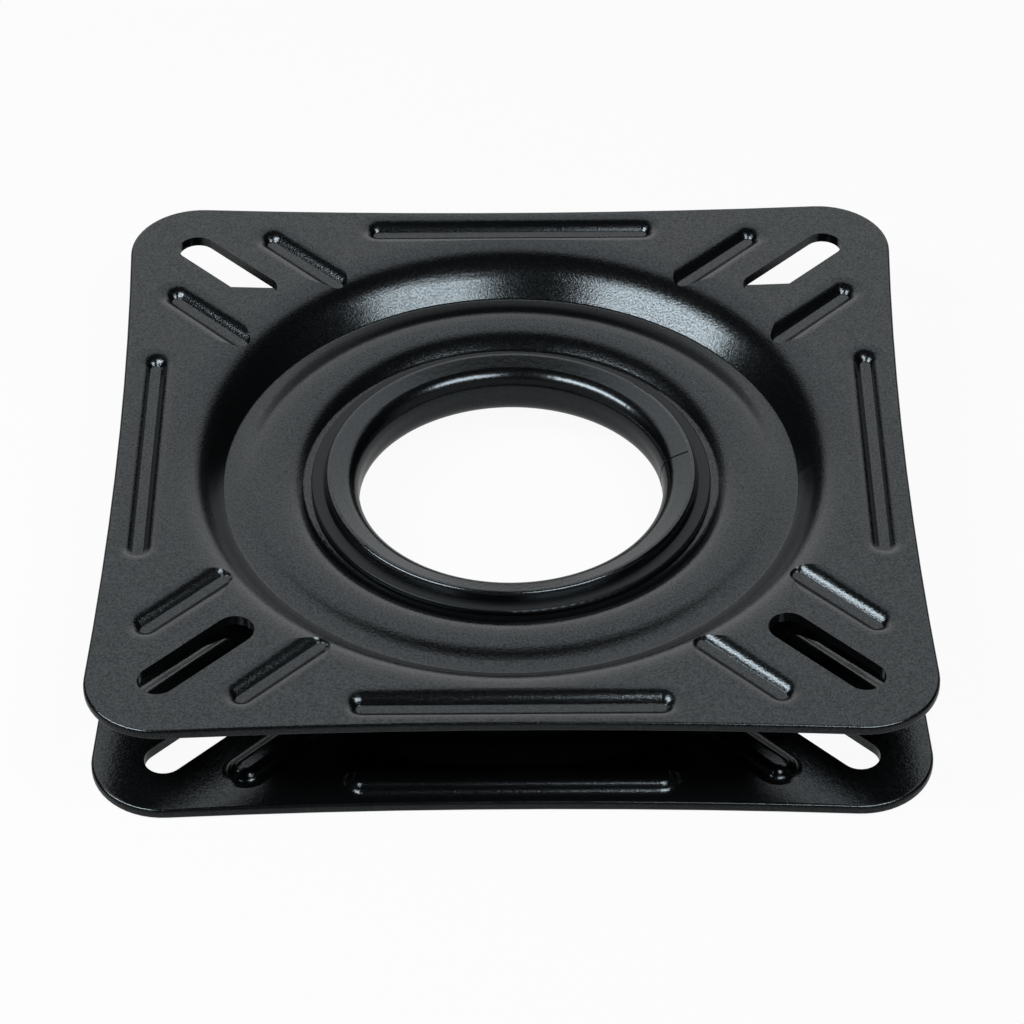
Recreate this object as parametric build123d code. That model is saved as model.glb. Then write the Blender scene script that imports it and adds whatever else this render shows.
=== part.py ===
from build123d import *
from math import asin, atan, cos, degrees, radians, sin, sqrt, tan
import os

# Swivel seat base: two pressed steel plates turn on a caged ball race and are held together
# by a flared centre hub. All sizes are in millimetres. Z = 0 is the underside of the bottom
# plate, the Z axis is the axis of the hub, and the plate sides lie along X and Y.

# Plates
plate_size = 177.8
overall_height = 25.4
sheet = 2.4
corner_radius = 16.0
side_bow = 1.9
edge_round = 0.8

# Dish pressed into each plate
crease_round = 0.8
wall_angle = 45.0
shoulder_round = 15.4

# Ball race, a round bulge between the neck and the crease of the dish
ball_diameter = 7.94
ball_count = 24
race_inset = 34.9
race_inner_run = 8.9
race_outer_run = 9.25
race_fall = 1.9
race_clearance = 0.15
cage_margin = 1.8
cage_thickness = 2.0
pocket_clearance = 0.25

# Neck of each plate, where the hub holds it
neck_round = 2.0
neck_gap = 1.8
hub_clearance = 0.4

# Hub and washers
hub_wall = 2.2
lip_width = 7.05
lip_height = 2.5
lip_slope = 20.0
lip_skirt = 0.8
lip_edge_round = 1.0
flare_round = 4.8
lip_root_round = 1.6
washer_margin = 0.7
washer_step = 3.5
washer_thickness = 1.4
washer_edge_round = 0.5
washer_clearance = 0.3
slip_clearance = 0.1

# Bolt slots, one on each diagonal
slot_width = 8.6
slot_length = 30.0
slot_margin = 11.0

# Stiffening ribs, sunk from the outer face
rib_floor = 2.0
rib_wall = 4.4
rib_depth = 2.0
rib_root_round = 0.3
rib_edge_angle = 4.0
rib_edge_run = 0.6
slot_rib_length = 22.3
slot_rib_gap = 5.3
slot_rib_setback = 10.2
side_rib_length = 62.0
side_rib_margin = 1.1

# Heights, worked out from the middle plane between the two plates
middle = overall_height / 2
neck_top = middle + neck_gap / 2 + sheet
crown_top = middle + ball_diameter / 2 + race_clearance + sheet
crease_top = crown_top - race_fall
upper_seat = neck_top + slip_clearance + washer_thickness
lower_seat = overall_height - neck_top - washer_thickness

# Radii, worked out from the race
half_size = plate_size / 2
race_radius = half_size - race_inset
neck_radius = race_radius - race_inner_run
crease_radius = race_radius + race_outer_run
washer_radius = neck_radius - washer_margin
lip_radius = washer_radius - washer_step
bore_radius = lip_radius - lip_width
hub_outer_radius = bore_radius + hub_wall
neck_bore = hub_outer_radius + hub_clearance
washer_bore = hub_outer_radius + lip_root_round + washer_clearance
pocket_radius = ball_diameter / 2 + pocket_clearance
cage_half_width = pocket_radius + cage_margin

# Sloping wall of the dish, between its crease and its rounded shoulder
wall_slope = radians(wall_angle)
wall_rounds = crease_round + shoulder_round
wall_rise = overall_height - crease_top - wall_rounds * (1 - cos(wall_slope))
wall_length = wall_rise / sin(wall_slope)
rim_radius = crease_radius + wall_rounds * sin(wall_slope) + wall_length * cos(wall_slope)

# Corner, slot and rib places
corner_centre = half_size - corner_radius
corner_reach = corner_centre * sqrt(2) + corner_radius
slot_centre = corner_reach - slot_margin - slot_length / 2
rib_half_width = rib_floor / 2 + rib_wall
slot_rib_offset = slot_width / 2 + slot_rib_gap + rib_half_width
side_rib_place = half_size - side_bow - side_rib_margin - rib_half_width


def s_bend(run, rise):
    """Turn angle in degrees and sum of the two radii of a smooth step."""
    turn = 2 * atan(rise / run)
    return degrees(turn), run / sin(turn)


def trace(start, steps, depth):
    """Edges along a path of (length, radius, turn) steps, laid depth below its upper face."""
    edges = []
    point = Vector(*start)
    heading = 0.0
    for length, radius, turn in steps:
        tangent = Vector(cos(radians(heading)), sin(radians(heading)))
        if length:
            edge = Line(point, point + tangent * length)
        else:
            bend = radius + depth if turn > 0 else radius - depth
            edge = JernArc(start=point, tangent=tangent, radius=bend, arc_size=turn)
        edges.append(edge)
        point = edge @ 1
        heading += turn
    return edges


def sheet_line(depth):
    """Section of the pressed sheet from the hub hole out to the flat, depth below its upper face."""
    inner_turn, inner_radii = s_bend(race_radius - neck_radius, crown_top - neck_top)
    outer_turn, outer_radii = s_bend(crease_radius - race_radius, race_fall)
    steps = [
        (neck_radius - neck_bore, 0, 0),
        (0, neck_round, inner_turn),
        (0, inner_radii - neck_round, -inner_turn),
        (0, outer_radii / 2, -outer_turn),
        (0, outer_radii / 2, outer_turn),
        (0, crease_round, wall_angle),
        (wall_length, 0, 0),
        (0, shoulder_round, -wall_angle),
    ]
    return trace((neck_bore, neck_top - depth), steps, depth)


def dish():
    """Pressed centre of the top plate, with the same sheet thickness all through."""
    upper = sheet_line(0)
    lower = sheet_line(sheet)
    inner_end = Line(upper[0] @ 0, lower[0] @ 0)
    outer_end = Line(upper[-1] @ 1, lower[-1] @ 1)
    section = make_face(upper + lower + [inner_end, outer_end])
    return revolve(Plane.XZ * section, axis=Axis.Z)


def dish_room():
    """Everything above the middle of the pressed sheet, out to the rim of the dish."""
    line = sheet_line(sheet / 2)
    inner = line[0] @ 0
    outer = line[-1] @ 1
    roof = overall_height + sheet
    lid = Polyline(outer, (outer.X, roof), (inner.X, roof), inner)
    return revolve(Plane.XZ * make_face(line + [lid]), axis=Axis.Z)


def plate_outline():
    """Square with rounded corners and slightly hollow sides, all arcs tangent."""
    hollow = corner_radius - side_bow
    side_radius = (corner_centre**2 + hollow**2 - corner_radius**2) / (2 * side_bow)
    side_centre = half_size - side_bow + side_radius
    lean = asin(corner_centre / (side_radius + corner_radius))
    side_end = (side_radius * sin(lean), side_centre - side_radius * cos(lean))
    corner_tip = corner_centre + corner_radius / sqrt(2)
    side = ThreePointArc((-side_end[0], side_end[1]), (0, half_size - side_bow), side_end)
    corner = ThreePointArc(side_end, (corner_tip, corner_tip), (side_end[1], side_end[0]))
    edges = [Rot(0, 0, 90 * turn) * edge for turn in range(4) for edge in (side, corner)]
    return make_face(edges)


def rib_form(length, depth_below, top):
    """Long rib with a flat floor below Z = 0. depth_below lays its surface that far under the sheet."""
    turn = 2 * atan(rib_depth / rib_wall)
    edge = radians(rib_edge_angle)
    shoulder = (rib_depth - rib_root_round * (1 - cos(turn))) / (cos(edge) - cos(turn))
    steps = [
        (rib_floor / 2, 0, 0),
        (0, rib_root_round, degrees(turn)),
        (0, shoulder, -degrees(turn - edge)),
        (rib_edge_run, 0, 0),
    ]
    curve = trace((0, -rib_depth - depth_below), steps, depth_below)
    last = curve[-1] @ 1
    half_face = make_face(
        curve + [Polyline(last, (last.X, top), (0, top), curve[0] @ 0)]
    )
    end = revolve(Plane.XZ * half_face, axis=Axis.Z)
    section = Plane.YZ * (half_face + mirror(half_face, about=Plane.YZ))
    middle_part = extrude(section, amount=length / 2, both=True)
    return middle_part + [Pos(side * length / 2, 0, 0) * end for side in (-1, 1)]


def rib_places():
    """Length and places of the ribs: two beside each slot, and one along each side."""
    beside_slot = []
    along_side = []
    for quarter in range(4):
        turn = Rot(0, 0, 90 * quarter)
        for side in (-1, 1):
            place = Pos(slot_centre - slot_rib_setback, side * slot_rib_offset, overall_height)
            beside_slot.append(turn * Rot(0, 0, 45) * place)
        along_side.append(turn * Pos(0, side_rib_place, overall_height))
    return (slot_rib_length, beside_slot), (side_rib_length, along_side)


def top_plate():
    """Upper pressed plate with dish, slots and ribs."""
    blank = Pos(0, 0, overall_height - sheet) * extrude(plate_outline(), amount=sheet)
    rims = blank.edges().group_by(Axis.Z)
    blank = fillet(rims[0] + rims[-1], radius=edge_round)
    blank -= Pos(0, 0, overall_height - sheet / 2) * Cylinder(rim_radius, 2 * sheet)
    plate = blank + dish()
    room = dish_room()
    for length, places in rib_places():
        bump = rib_form(length, sheet, -sheet / 2)
        groove = rib_form(length, 0, sheet / 2)
        plate += [place * bump - room for place in places]
        plate -= [place * groove for place in places]
    slot = extrude(SlotOverall(slot_length, slot_width), amount=2 * sheet, both=True)
    slot_places = PolarLocations(slot_centre, 4, start_angle=45)
    plate -= Pos(0, 0, overall_height - sheet / 2) * slot_places * slot
    return plate


def hub():
    """Flared tube through the middle, with a lip that holds each plate."""
    upper = hub_half_section(upper_seat)
    lower = mirror(hub_half_section(overall_height - lower_seat), about=Plane.XZ.offset(-middle))
    return revolve(Plane.XZ * (upper + lower), axis=Axis.Z)


def hub_half_section(seat):
    """Half section of the hub above the middle plane, with its lip resting at height seat."""
    slope = radians(lip_slope)
    lip_top = seat + lip_height
    flare_radius = bore_radius + flare_round
    start = flare_radius - flare_round * sin(slope)
    start_height = lip_top - (lip_radius - start) * tan(slope)
    flare_height = start_height - flare_round * cos(slope)
    flare = JernArc(
        start=(bore_radius, flare_height), tangent=(0, 1), radius=flare_round, arc_size=lip_slope - 90
    )
    root = JernArc(
        start=(hub_outer_radius, seat - lip_root_round),
        tangent=(0, 1),
        radius=lip_root_round,
        arc_size=-90,
    )
    body = make_face(
        [
            Line((bore_radius, middle), flare @ 0),
            flare,
            Polyline(flare @ 1, (lip_radius, lip_top), (lip_radius + lip_skirt, seat), root @ 1),
            root,
            Polyline(root @ 0, (hub_outer_radius, middle), (bore_radius, middle)),
        ]
    )
    return fillet(body.vertices().sort_by(Axis.Y)[-1:], lip_edge_round)


def washer(bottom):
    """Flat plastic ring between a hub lip and a plate."""
    ring = Cylinder(washer_radius, washer_thickness) - Cylinder(washer_bore, washer_thickness)
    rims = ring.edges().filter_by(GeomType.CIRCLE)
    outer = [rim for rim in rims if rim.radius > washer_bore]
    ring = fillet(outer, washer_edge_round)
    return Pos(0, 0, bottom + washer_thickness / 2) * ring


def cage():
    """Flat ring with a round pocket for each ball."""
    ring = Cylinder(race_radius + cage_half_width, cage_thickness)
    ring -= Cylinder(race_radius - cage_half_width, cage_thickness)
    pocket = Cylinder(pocket_radius, 2 * cage_thickness)
    ring -= PolarLocations(race_radius, ball_count) * pocket
    return Pos(0, 0, middle) * ring


upper_plate = top_plate()
nodes = {
    "top_plate": upper_plate,
    "bottom_plate": mirror(upper_plate, about=Plane.XY.offset(middle)),
    "hub": hub(),
    "upper_washer": washer(upper_seat - washer_thickness),
    "lower_washer": washer(lower_seat),
    "ball_cage": cage(),
}
for number, place in enumerate(PolarLocations(race_radius, ball_count).locations, start=1):
    nodes[f"bearing_ball_{number:02d}"] = Pos(0, 0, middle) * place * Sphere(ball_diameter / 2)

os.makedirs("parts", exist_ok=True)
for name, solid in nodes.items():
    export_step(solid, f"parts/{name}.step")
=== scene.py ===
from math import cos, pi, radians, sin, tan
import bpy
from mathutils import Matrix, Vector


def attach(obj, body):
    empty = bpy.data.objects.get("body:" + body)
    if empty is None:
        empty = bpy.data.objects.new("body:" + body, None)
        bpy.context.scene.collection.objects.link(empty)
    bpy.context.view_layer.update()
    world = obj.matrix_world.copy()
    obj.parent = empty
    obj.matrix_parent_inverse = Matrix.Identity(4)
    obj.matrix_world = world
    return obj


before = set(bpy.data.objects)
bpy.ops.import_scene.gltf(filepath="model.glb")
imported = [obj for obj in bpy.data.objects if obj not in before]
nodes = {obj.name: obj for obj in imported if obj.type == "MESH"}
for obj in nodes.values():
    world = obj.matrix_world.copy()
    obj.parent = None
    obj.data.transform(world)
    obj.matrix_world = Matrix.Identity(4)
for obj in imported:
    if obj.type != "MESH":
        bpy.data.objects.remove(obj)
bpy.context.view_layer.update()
scene = bpy.context.scene

# Camera at the photograph's viewing angle, in degrees and metres, with lens and sensor in millimetres
VIEW_ELEVATION = 41.19
VIEW_AZIMUTH = 0.16
VIEW_ROLL = -0.46
VIEW_TARGET = Vector((0.00018, -0.00255, 0.00907))
VIEW_DISTANCE = 0.90076
LENS = 141.93
SENSOR = 36.0
CLIP_START = 0.01
CLIP_END = 100

# Backdrop where it is seen directly, and light from all round for diffuse surfaces
WHITE = (1, 1, 1, 1)
BACKDROP_STRENGTH = 1.0
AMBIENT_STRENGTH = 0.15

# Round wall behind the object, for reflections
WALL_STRENGTH = 1.12
WALL_HEADING = (0.0, 0.78, 0.62)
WALL_FADE = (0.755, 0.81)  # dot product with the heading, from dark to full
WALL_RISE = (0.5, 0.8)  # upward part of the direction
WALL_LEVEL = (0.97, 1.16)  # share of the strength at those two heights

# Dim low wall in front, for reflections
FRONT_STRENGTH = 0.22
FRONT_SIDE = (0.10, -0.25)  # backward part of the direction, from dark to full
FRONT_TOP = (0.60, 0.45)  # upward part of the direction, from dark to full

# Floor, in metres, with its looks for scattered light, for the camera and for reflections
FLOOR_SIZE = 12.0
FLOOR_DROP = 0.0001
FLOOR_SCATTER = (0.8, 0.8, 0.8, 1)
FLOOR_SHADOW = (0.03, 0.03, 0.03, 1)
FLOOR_SEEN = 0.94
FLOOR_REFLECTED = 0.42

# Strip lights in front, in metres and degrees: each as azimuth, start and end along it, and radiance
STRIP_CENTRE = Vector((0, 0.031, 0))
STRIP_FRONT = 0.341
STRIP_HEIGHT = 0.506
STRIP_DEPTH = 0.137
STRIP_TINT = (0.93, 0.97, 1.0)
STRIPS = {
    "right_strip": (32, -0.12, 0.195, 14.0),
    "left_strip": (-32, -0.55, -0.03, 18.0),
}

# Hub surface that the butt seam follows, in millimetres and degrees
HUB_BORE = 33.85
HUB_FLARE = 4.8
LIP_RADIUS = 40.9
LIP_SLOPE = 20.0
UPPER_LIP_TOP = 20.0
LOWER_LIP_TOP = 5.5
SEAM_AZIMUTH = 8.0
SEAM_START = 39.9
SEAM_WIDTH = 0.40
SEAM_HEIGHT = 0.03
LIP_STEPS = 7
FLARE_STEPS = 12
MM_PER_METRE = 1000

# What the finishes share: spans of noise that roughness and gloss follow, and the tint of the gloss
ROUGHNESS_SPAN = (0.3, 0.7)
GLOSS_SPAN = (0.25, 0.75)
GLOSS_TINT = (0.84, 0.945, 1.0, 1)
FINISH_IOR = 1.5

# Powder coat of the plates, with noise scales per metre and the bump in metres
COAT_GRAIN_SCALE = 2300
COAT_PEEL_SCALE = 900
COAT_PEEL_SHARE = 0.2
COAT_CLOUD_SCALE = 28
COAT_CLOUD_DETAIL = 3.0
COAT_CLOUDING = (-0.02, 0.02)
COAT_DARK = (0.0012, 0.0014, 0.0015, 1)
COAT_LIGHT = (0.0035, 0.0038, 0.0040, 1)
COAT_ROUGHNESS = (0.14, 0.20)
COAT_GLOSS = (0.22, 0.78)
COAT_BUMP = 0.00003

# Smoother paint of the hub
HUB_GRAIN_SCALE = 900
HUB_FINE_SCALE = 2000
HUB_DARK = (0.0010, 0.0011, 0.0012, 1)
HUB_LIGHT = (0.0022, 0.0024, 0.0026, 1)
HUB_ROUGHNESS = (0.16, 0.21)
HUB_GLOSS = (0.45, 0.75)
HUB_BUMP = 0.00002

# Shadow in the butt seam
SEAM_GRAIN_SCALE = 1800
SEAM_DARK = (0.0005, 0.0005, 0.0005, 1)
SEAM_LIGHT = (0.0018, 0.0018, 0.0018, 1)
SEAM_ROUGHNESS = (0.75, 0.95)
SEAM_GLOSS = 0.1

# Moulded plastic of the washers and the cage
SKIN_SCALE = 900
SKIN_NOISE = {"detail": 3.0, "roughness": 0.6}
PLASTIC_DARK = (0.0012, 0.0013, 0.0014, 1)
PLASTIC_LIGHT = (0.0030, 0.0032, 0.0034, 1)
PLASTIC_GLOSS = 0.25
PLASTIC_BUMP = 0.00005
PLASTIC_BUMP_STRENGTH = 0.1
WASHER_ROUGHNESS = (0.32, 0.40)
CAGE_ROUGHNESS = (0.45, 0.55)

# Steel of the balls
SMEAR_SCALE = 500
SMEAR_NOISE = {"detail": 3.0, "roughness": 0.6}
STEEL_DARK = (0.50, 0.50, 0.50, 1)
STEEL_LIGHT = (0.62, 0.61, 0.60, 1)
STEEL_ROUGHNESS = (0.08, 0.20)


def make_camera():
    """Camera turned to the measured elevation, azimuth and roll."""
    elevation = radians(VIEW_ELEVATION)
    azimuth = radians(VIEW_AZIMUTH)
    roll = radians(VIEW_ROLL)
    flat = cos(elevation)
    back = Vector((sin(azimuth) * flat, -cos(azimuth) * flat, sin(elevation)))
    right = (-back).cross(Vector((0, 0, 1))).normalized()
    up = right.cross(-back)
    turned_right = cos(roll) * right + sin(roll) * up
    turned_up = cos(roll) * up - sin(roll) * right
    data = bpy.data.cameras.new("photo_camera")
    data.sensor_fit = "HORIZONTAL"
    data.sensor_width = SENSOR
    data.lens = LENS
    data.clip_start = CLIP_START
    data.clip_end = CLIP_END
    camera = bpy.data.objects.new("photo_camera", data)
    scene.collection.objects.link(camera)
    turn = Matrix((turned_right, turned_up, back)).transposed().to_4x4()
    camera.matrix_world = Matrix.Translation(VIEW_TARGET + back * VIEW_DISTANCE) @ turn
    scene.camera = camera


class ShaderTree:
    """Short way to add and join the nodes of one shader tree."""

    def __init__(self, tree):
        self.tree = tree
        tree.nodes.clear()

    def add(self, kind, inputs=None, **settings):
        """New node whose inputs are joined to sockets or set to values."""
        node = self.tree.nodes.new(kind)
        for name, value in settings.items():
            setattr(node, name, value)
        for name, value in (inputs or {}).items():
            if isinstance(value, bpy.types.NodeSocket):
                self.tree.links.new(value, node.inputs[name])
            else:
                node.inputs[name].default_value = value
        return node

    def math(self, operation, first, second):
        return self.add("ShaderNodeMath", {0: first, 1: second}, operation=operation).outputs[0]

    def remap(self, value, span, new_span):
        limits = {"Value": value, 1: span[0], 2: span[1], 3: new_span[0], 4: new_span[1]}
        return self.add("ShaderNodeMapRange", limits, clamp=True).outputs[0]

    def mix_values(self, factor, first, second):
        return self.add("ShaderNodeMix", {0: factor, 2: first, 3: second}).outputs[0]

    def mix_colours(self, factor, first, second):
        return self.add("ShaderNodeMix", {0: factor, 6: first, 7: second}, data_type="RGBA").outputs[2]

    def noise(self, vector, scale, detail=2.0, roughness=0.5):
        values = {"Vector": vector, "Scale": scale, "Detail": detail, "Roughness": roughness}
        return self.add("ShaderNodeTexNoise", values).outputs["Fac"]

    def bump(self, height, distance, strength=1.0):
        values = {"Strength": strength, "Distance": distance, "Height": height}
        return self.add("ShaderNodeBump", values).outputs[0]


def ray_kinds(tree):
    """Two factors: one is 1 for rays that see the backdrop directly, the other is 1 for reflections."""
    path = tree.add("ShaderNodeLightPath").outputs
    direct = tree.math("MAXIMUM", path["Is Camera Ray"], path["Is Transmission Ray"])
    return direct, path["Is Glossy Ray"]


def make_world():
    """White backdrop that reflections see as a round wall behind the object and a low one in front."""
    world = bpy.data.worlds.new("studio")
    scene.world = world
    world.use_nodes = True
    tree = ShaderTree(world.node_tree)
    direct, reflected = ray_kinds(tree)
    direction = tree.add("ShaderNodeTexCoord").outputs["Generated"]
    vectors = {0: direction, 1: WALL_HEADING}
    toward = tree.add("ShaderNodeVectorMath", vectors, operation="DOT_PRODUCT").outputs["Value"]
    axes = tree.add("ShaderNodeSeparateXYZ", {0: direction}).outputs
    disc = tree.remap(toward, WALL_FADE, (0.0, WALL_STRENGTH))
    wall = tree.math("MULTIPLY", disc, tree.remap(axes["Z"], WALL_RISE, WALL_LEVEL))
    side = tree.remap(axes["Y"], FRONT_SIDE, (0.0, FRONT_STRENGTH))
    front = tree.math("MULTIPLY", side, tree.remap(axes["Z"], FRONT_TOP, (0.0, 1.0)))
    walls = tree.math("ADD", wall, front)
    light = tree.mix_values(reflected, AMBIENT_STRENGTH, walls)
    strength = tree.mix_values(direct, light, BACKDROP_STRENGTH)
    shader = tree.add("ShaderNodeBackground", {"Color": WHITE, "Strength": strength})
    tree.add("ShaderNodeOutputWorld", {"Surface": shader.outputs[0]})


def make_floor():
    """Pale floor that the camera sees white with a faint shadow, and reflections see grey."""
    bpy.ops.mesh.primitive_plane_add(size=FLOOR_SIZE, location=(0, 0, -FLOOR_DROP))
    floor = bpy.context.object
    floor.name = "studio_floor"
    material = bpy.data.materials.new("studio_floor")
    material.use_nodes = True
    tree = ShaderTree(material.node_tree)
    direct, reflected = ray_kinds(tree)
    scatter = tree.add("ShaderNodeBsdfDiffuse", {"Color": FLOOR_SCATTER}).outputs[0]
    shadow = tree.add("ShaderNodeBsdfDiffuse", {"Color": FLOOR_SHADOW}).outputs[0]
    white = tree.add("ShaderNodeEmission", {"Color": WHITE, "Strength": FLOOR_SEEN}).outputs[0]
    grey = tree.add("ShaderNodeEmission", {"Color": WHITE, "Strength": FLOOR_REFLECTED}).outputs[0]
    seen = tree.add("ShaderNodeAddShader", {0: shadow, 1: white}).outputs[0]
    unseen = tree.add("ShaderNodeMixShader", {0: reflected, 1: scatter, 2: grey}).outputs[0]
    shader = tree.add("ShaderNodeMixShader", {0: direct, 1: unseen, 2: seen}).outputs[0]
    tree.add("ShaderNodeOutputMaterial", {"Surface": shader})
    floor.data.materials.append(material)


def make_strip(name, azimuth, start, end, radiance):
    """Long soft light that hangs level in front, square to its own azimuth, and faces the object."""
    data = bpy.data.lights.new(name, "AREA")
    data.shape = "RECTANGLE"
    data.size = end - start
    data.size_y = STRIP_DEPTH
    data.energy = radiance * pi * data.size * data.size_y
    data.color = STRIP_TINT
    strip = bpy.data.objects.new(name, data)
    side = radians(azimuth)
    outward = Vector((sin(side), -cos(side), 0))
    along = Vector((cos(side), sin(side), 0))
    away = outward * STRIP_FRONT + Vector((0, 0, STRIP_HEIGHT))
    strip.location = STRIP_CENTRE + away + along * (start + end) / 2
    strip.rotation_mode = "QUATERNION"
    strip.rotation_quaternion = (-away).to_track_quat("-Z", "Y")
    strip.visible_camera = False
    scene.collection.objects.link(strip)


def new_material(name):
    """New material, its empty shader tree, and the place on the object that its noise follows."""
    material = bpy.data.materials.new(name)
    material.use_nodes = True
    tree = ShaderTree(material.node_tree)
    place = tree.add("ShaderNodeTexCoord").outputs["Object"]
    return material, tree, place


def finish_material(tree, inputs):
    """Principled shader with these inputs, joined to the material's output."""
    shader = tree.add("ShaderNodeBsdfPrincipled", inputs)
    tree.add("ShaderNodeOutputMaterial", {"Surface": shader.outputs[0]})


def powder_coat():
    """Satin black powder coat with a fine leathery grain."""
    material, tree, place = new_material("powder_coat")
    grain = tree.noise(place, COAT_GRAIN_SCALE)
    peel = tree.noise(place, COAT_PEEL_SCALE)
    cloud = tree.noise(place, COAT_CLOUD_SCALE, detail=COAT_CLOUD_DETAIL)
    rough_grain = tree.remap(grain, ROUGHNESS_SPAN, COAT_ROUGHNESS)
    rough_cloud = tree.remap(cloud, ROUGHNESS_SPAN, COAT_CLOUDING)
    height = tree.math("ADD", grain, tree.math("MULTIPLY", peel, COAT_PEEL_SHARE))
    finish_material(tree, {
        "Base Color": tree.mix_colours(grain, COAT_DARK, COAT_LIGHT),
        "Roughness": tree.math("ADD", rough_grain, rough_cloud),
        "Normal": tree.bump(height, COAT_BUMP),
        "IOR": FINISH_IOR,
        "Specular IOR Level": tree.remap(grain, GLOSS_SPAN, COAT_GLOSS),
        "Specular Tint": GLOSS_TINT,
    })
    return material


def smooth_paint():
    """Smoother black paint on the turned and rolled hub."""
    material, tree, place = new_material("smooth_paint")
    grain = tree.noise(place, HUB_GRAIN_SCALE)
    fine = tree.noise(place, HUB_FINE_SCALE)
    finish_material(tree, {
        "Base Color": tree.mix_colours(grain, HUB_DARK, HUB_LIGHT),
        "Roughness": tree.remap(fine, ROUGHNESS_SPAN, HUB_ROUGHNESS),
        "Normal": tree.bump(grain, HUB_BUMP),
        "IOR": FINISH_IOR,
        "Specular IOR Level": tree.remap(fine, GLOSS_SPAN, HUB_GLOSS),
        "Specular Tint": GLOSS_TINT,
    })
    return material


def seam_shadow():
    """Dark line of the hub's closed butt seam."""
    material, tree, place = new_material("seam_shadow")
    grain = tree.noise(place, SEAM_GRAIN_SCALE)
    finish_material(tree, {
        "Base Color": tree.mix_colours(grain, SEAM_DARK, SEAM_LIGHT),
        "Roughness": tree.remap(grain, ROUGHNESS_SPAN, SEAM_ROUGHNESS),
        "Specular IOR Level": SEAM_GLOSS,
    })
    return material


def black_plastic(name, roughness):
    """Moulded black plastic with a faint skin."""
    material, tree, place = new_material(name)
    skin = tree.noise(place, SKIN_SCALE, **SKIN_NOISE)
    finish_material(tree, {
        "Base Color": tree.mix_colours(skin, PLASTIC_DARK, PLASTIC_LIGHT),
        "Roughness": tree.remap(skin, ROUGHNESS_SPAN, roughness),
        "Normal": tree.bump(skin, PLASTIC_BUMP, PLASTIC_BUMP_STRENGTH),
        "IOR": FINISH_IOR,
        "Specular IOR Level": PLASTIC_GLOSS,
        "Specular Tint": GLOSS_TINT,
    })
    return material


def ball_steel():
    """Polished bearing steel with a thin film of grease."""
    material, tree, place = new_material("ball_steel")
    smear = tree.noise(place, SMEAR_SCALE, **SMEAR_NOISE)
    finish_material(tree, {
        "Base Color": tree.mix_colours(smear, STEEL_DARK, STEEL_LIGHT),
        "Roughness": tree.remap(smear, ROUGHNESS_SPAN, STEEL_ROUGHNESS),
        "Metallic": 1.0,
    })
    return material


def paint(names, material):
    """Give one material to each of the named nodes."""
    for name in names:
        slots = nodes[name].data.materials
        slots.clear()
        slots.append(material)


def seam_path():
    """Surface points (radius, height) and outward normals of the seam, from upper lip to lower lip."""
    slope = radians(LIP_SLOPE)
    steps = []
    flare_start = HUB_BORE + HUB_FLARE * (1 - sin(slope))
    for part in range(LIP_STEPS):
        radius = SEAM_START + (flare_start - SEAM_START) * part / LIP_STEPS
        steps.append((radius, (radius - LIP_RADIUS) * tan(slope), -sin(slope), cos(slope)))
    centre_height = (flare_start - LIP_RADIUS) * tan(slope) - HUB_FLARE * cos(slope)
    for part in range(FLARE_STEPS + 1):
        angle = radians(90 + LIP_SLOPE + (90 - LIP_SLOPE) * part / FLARE_STEPS)
        radius = HUB_BORE + HUB_FLARE * (1 + cos(angle))
        steps.append((radius, centre_height + HUB_FLARE * sin(angle), cos(angle), sin(angle)))
    upper = [(r, UPPER_LIP_TOP + h, nr, nh) for r, h, nr, nh in steps]
    lower = [(r, LOWER_LIP_TOP - h, nr, -nh) for r, h, nr, nh in reversed(steps)]
    return upper + lower


def make_seam():
    """Thin closed strip along the hub's butt seam, part sunk in the surface."""
    turn = radians(SEAM_AZIMUTH)
    points = []
    for radius, height, out_radius, out_height in seam_path():
        for side in (-SEAM_WIDTH / 2, SEAM_WIDTH / 2):
            for lift in (-SEAM_HEIGHT, SEAM_HEIGHT):
                along = radius + lift * out_radius
                x = along * cos(turn) - side * sin(turn)
                y = along * sin(turn) + side * cos(turn)
                z = height + lift * out_height
                points.append((x / MM_PER_METRE, y / MM_PER_METRE, z / MM_PER_METRE))
    ring = (0, 1, 3, 2)
    step = len(ring)
    last = len(points) - step
    faces = [ring, tuple(last + corner for corner in reversed(ring))]
    for row in range(0, last, step):
        for first, second in zip(ring, ring[1:] + ring[:1]):
            faces.append((row + second, row + first, row + step + first, row + step + second))
    mesh = bpy.data.meshes.new("hub_seam")
    mesh.from_pydata(points, [], faces)
    mesh.materials.append(seam_shadow())
    seam = bpy.data.objects.new("hub_seam", mesh)
    scene.collection.objects.link(seam)
    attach(seam, "base")


make_camera()
make_world()
make_floor()
for strip_name, strip in STRIPS.items():
    make_strip(strip_name, *strip)

paint(["top_plate", "bottom_plate"], powder_coat())
paint(["hub"], smooth_paint())
make_seam()
paint(["upper_washer", "lower_washer"], black_plastic("washer_plastic", WASHER_ROUGHNESS))
paint(["ball_cage"], black_plastic("cage_plastic", CAGE_ROUGHNESS))
paint([name for name in nodes if name.startswith("bearing_ball")], ball_steel())

scene.view_settings.view_transform = "Standard"
